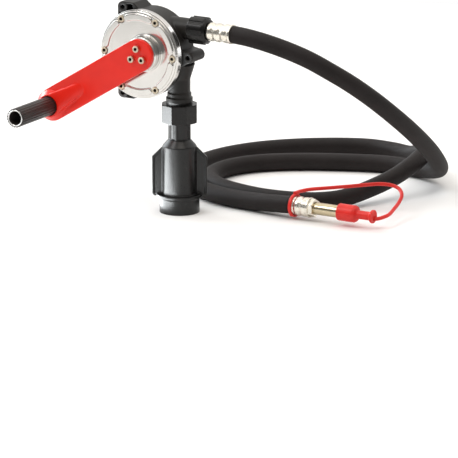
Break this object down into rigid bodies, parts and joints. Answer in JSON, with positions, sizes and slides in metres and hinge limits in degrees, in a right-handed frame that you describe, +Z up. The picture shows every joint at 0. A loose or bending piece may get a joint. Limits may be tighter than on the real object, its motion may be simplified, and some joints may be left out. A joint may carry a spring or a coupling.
{
  "type": "rotary hand transfer pump",
  "caption": "Rotary vane hand pump on a winged drum adapter, with a crank, a telescopic suction tube and a coiled delivery hose ending in a capped nozzle.",
  "frame": {"origin": "axis of the drum adapter at the drum seat, where the drum head's top lies", "axes": "+Z up along the suction pipe, -Y towards the crank, +X along the outlet"},
  "size_m": [0.5265, 0.6208, 0.6304],
  "materials": {
    "cast_black": "satin black paint on cast metal, slightly warm",
    "polished_alu": "polished",
    "turned_alu": "turned",
    "gasket_paper": "matte",
    "zinc_screws": "zinc plated",
    "bronze": "turned",
    "seal_rubber": "matte",
    "steel": "ground",
    "sintered_iron": "machined",
    "vane_plastic": "matte",
    "red_paint": "semi-gloss vermilion",
    "grip_plastic": "satin",
    "bright_ring": "bright",
    "nut_plastic": "satin",
    "adapter_plastic": "satin",
    "tube_metal": "drawn",
    "hose_rubber": "matte, fine cloth grain",
    "ferrule_zinc": "bright zinc",
    "nozzle_metal": "bright, warm nickel",
    "cap_rubber": "satin red"
  },
  "bodies": {
    "pump": {"pump_body": "cast_black", "front_cover": "polished_alu", "rear_cover": "turned_alu", "front_gasket": "gasket_paper", "rear_gasket": "gasket_paper", "cover_screws": "zinc_screws", "rear_screws": "zinc_screws", "front_bush": "bronze", "rear_bush": "bronze", "shaft_seal": "seal_rubber", "inlet_seal": "seal_rubber", "bung_adapter": "adapter_plastic", "adapter_seal": "seal_rubber", "upper_tube": "tube_metal", "upper_collar": "adapter_plastic", "outlet_seal": "seal_rubber", "outlet_tail": "ferrule_zinc", "pump_ferrule": "ferrule_zinc", "delivery_hose": "hose_rubber", "nozzle_ferrule": "ferrule_zinc", "nozzle_collar": "ferrule_zinc", "nozzle_tube": "nozzle_metal", "cap_strap": "cap_rubber"},
    "crank": {"shaft": "steel", "rotor_key": "steel", "rotor": "sintered_iron", "vane_1": "vane_plastic", "vane_2": "vane_plastic", "vane_3": "vane_plastic", "hub_flange": "polished_alu", "crank_lever": "red_paint", "lever_screws": "zinc_screws", "grip_tube": "steel", "grip_ring": "bright_ring"},
    "grip": {"grip_sleeve": "grip_plastic"},
    "inlet_nut": {"inlet_union_nut": "nut_plastic"},
    "outlet_nut": {"outlet_union_nut": "nut_plastic"},
    "middle_stage": {"middle_tube": "tube_metal", "middle_collar": "adapter_plastic"},
    "lower_stage": {"lower_tube": "tube_metal", "foot_strainer": "adapter_plastic"},
    "cap": {"nozzle_cap": "cap_rubber"}
  },
  "joints": [
    {"name": "crank_spin", "type": "hinge", "parent": "pump", "child": "crank", "pos_m": [-0.035, -0.05, 0.245], "axis": [0, 1, 0], "continuous": true},
    {"name": "grip_spin", "type": "hinge", "parent": "crank", "child": "grip", "pos_m": [-0.18592, -0.1, 0.15252], "axis": [0, 1, 0], "continuous": true},
    {"name": "inlet_nut_spin", "type": "hinge", "parent": "pump", "child": "inlet_nut", "pos_m": [0, 0, 0.151], "axis": [0, 0, 1], "continuous": true},
    {"name": "outlet_nut_spin", "type": "hinge", "parent": "pump", "child": "outlet_nut", "pos_m": [0.0375, 0, 0.28], "axis": [1, 0, 0], "continuous": true},
    {"name": "middle_tube_slide", "type": "slide", "parent": "pump", "child": "middle_stage", "axis": [0, 0, -1], "range_m": [0, 0.23]},
    {"name": "lower_tube_slide", "type": "slide", "parent": "middle_stage", "child": "lower_stage", "axis": [0, 0, -1], "range_m": [0, 0.23]},
    {"name": "cap_pull", "type": "slide", "parent": "pump", "child": "cap", "axis": [1, 0, 0], "range_m": [0, 0.03], "deforming": ["cap_strap"]}
  ]
}
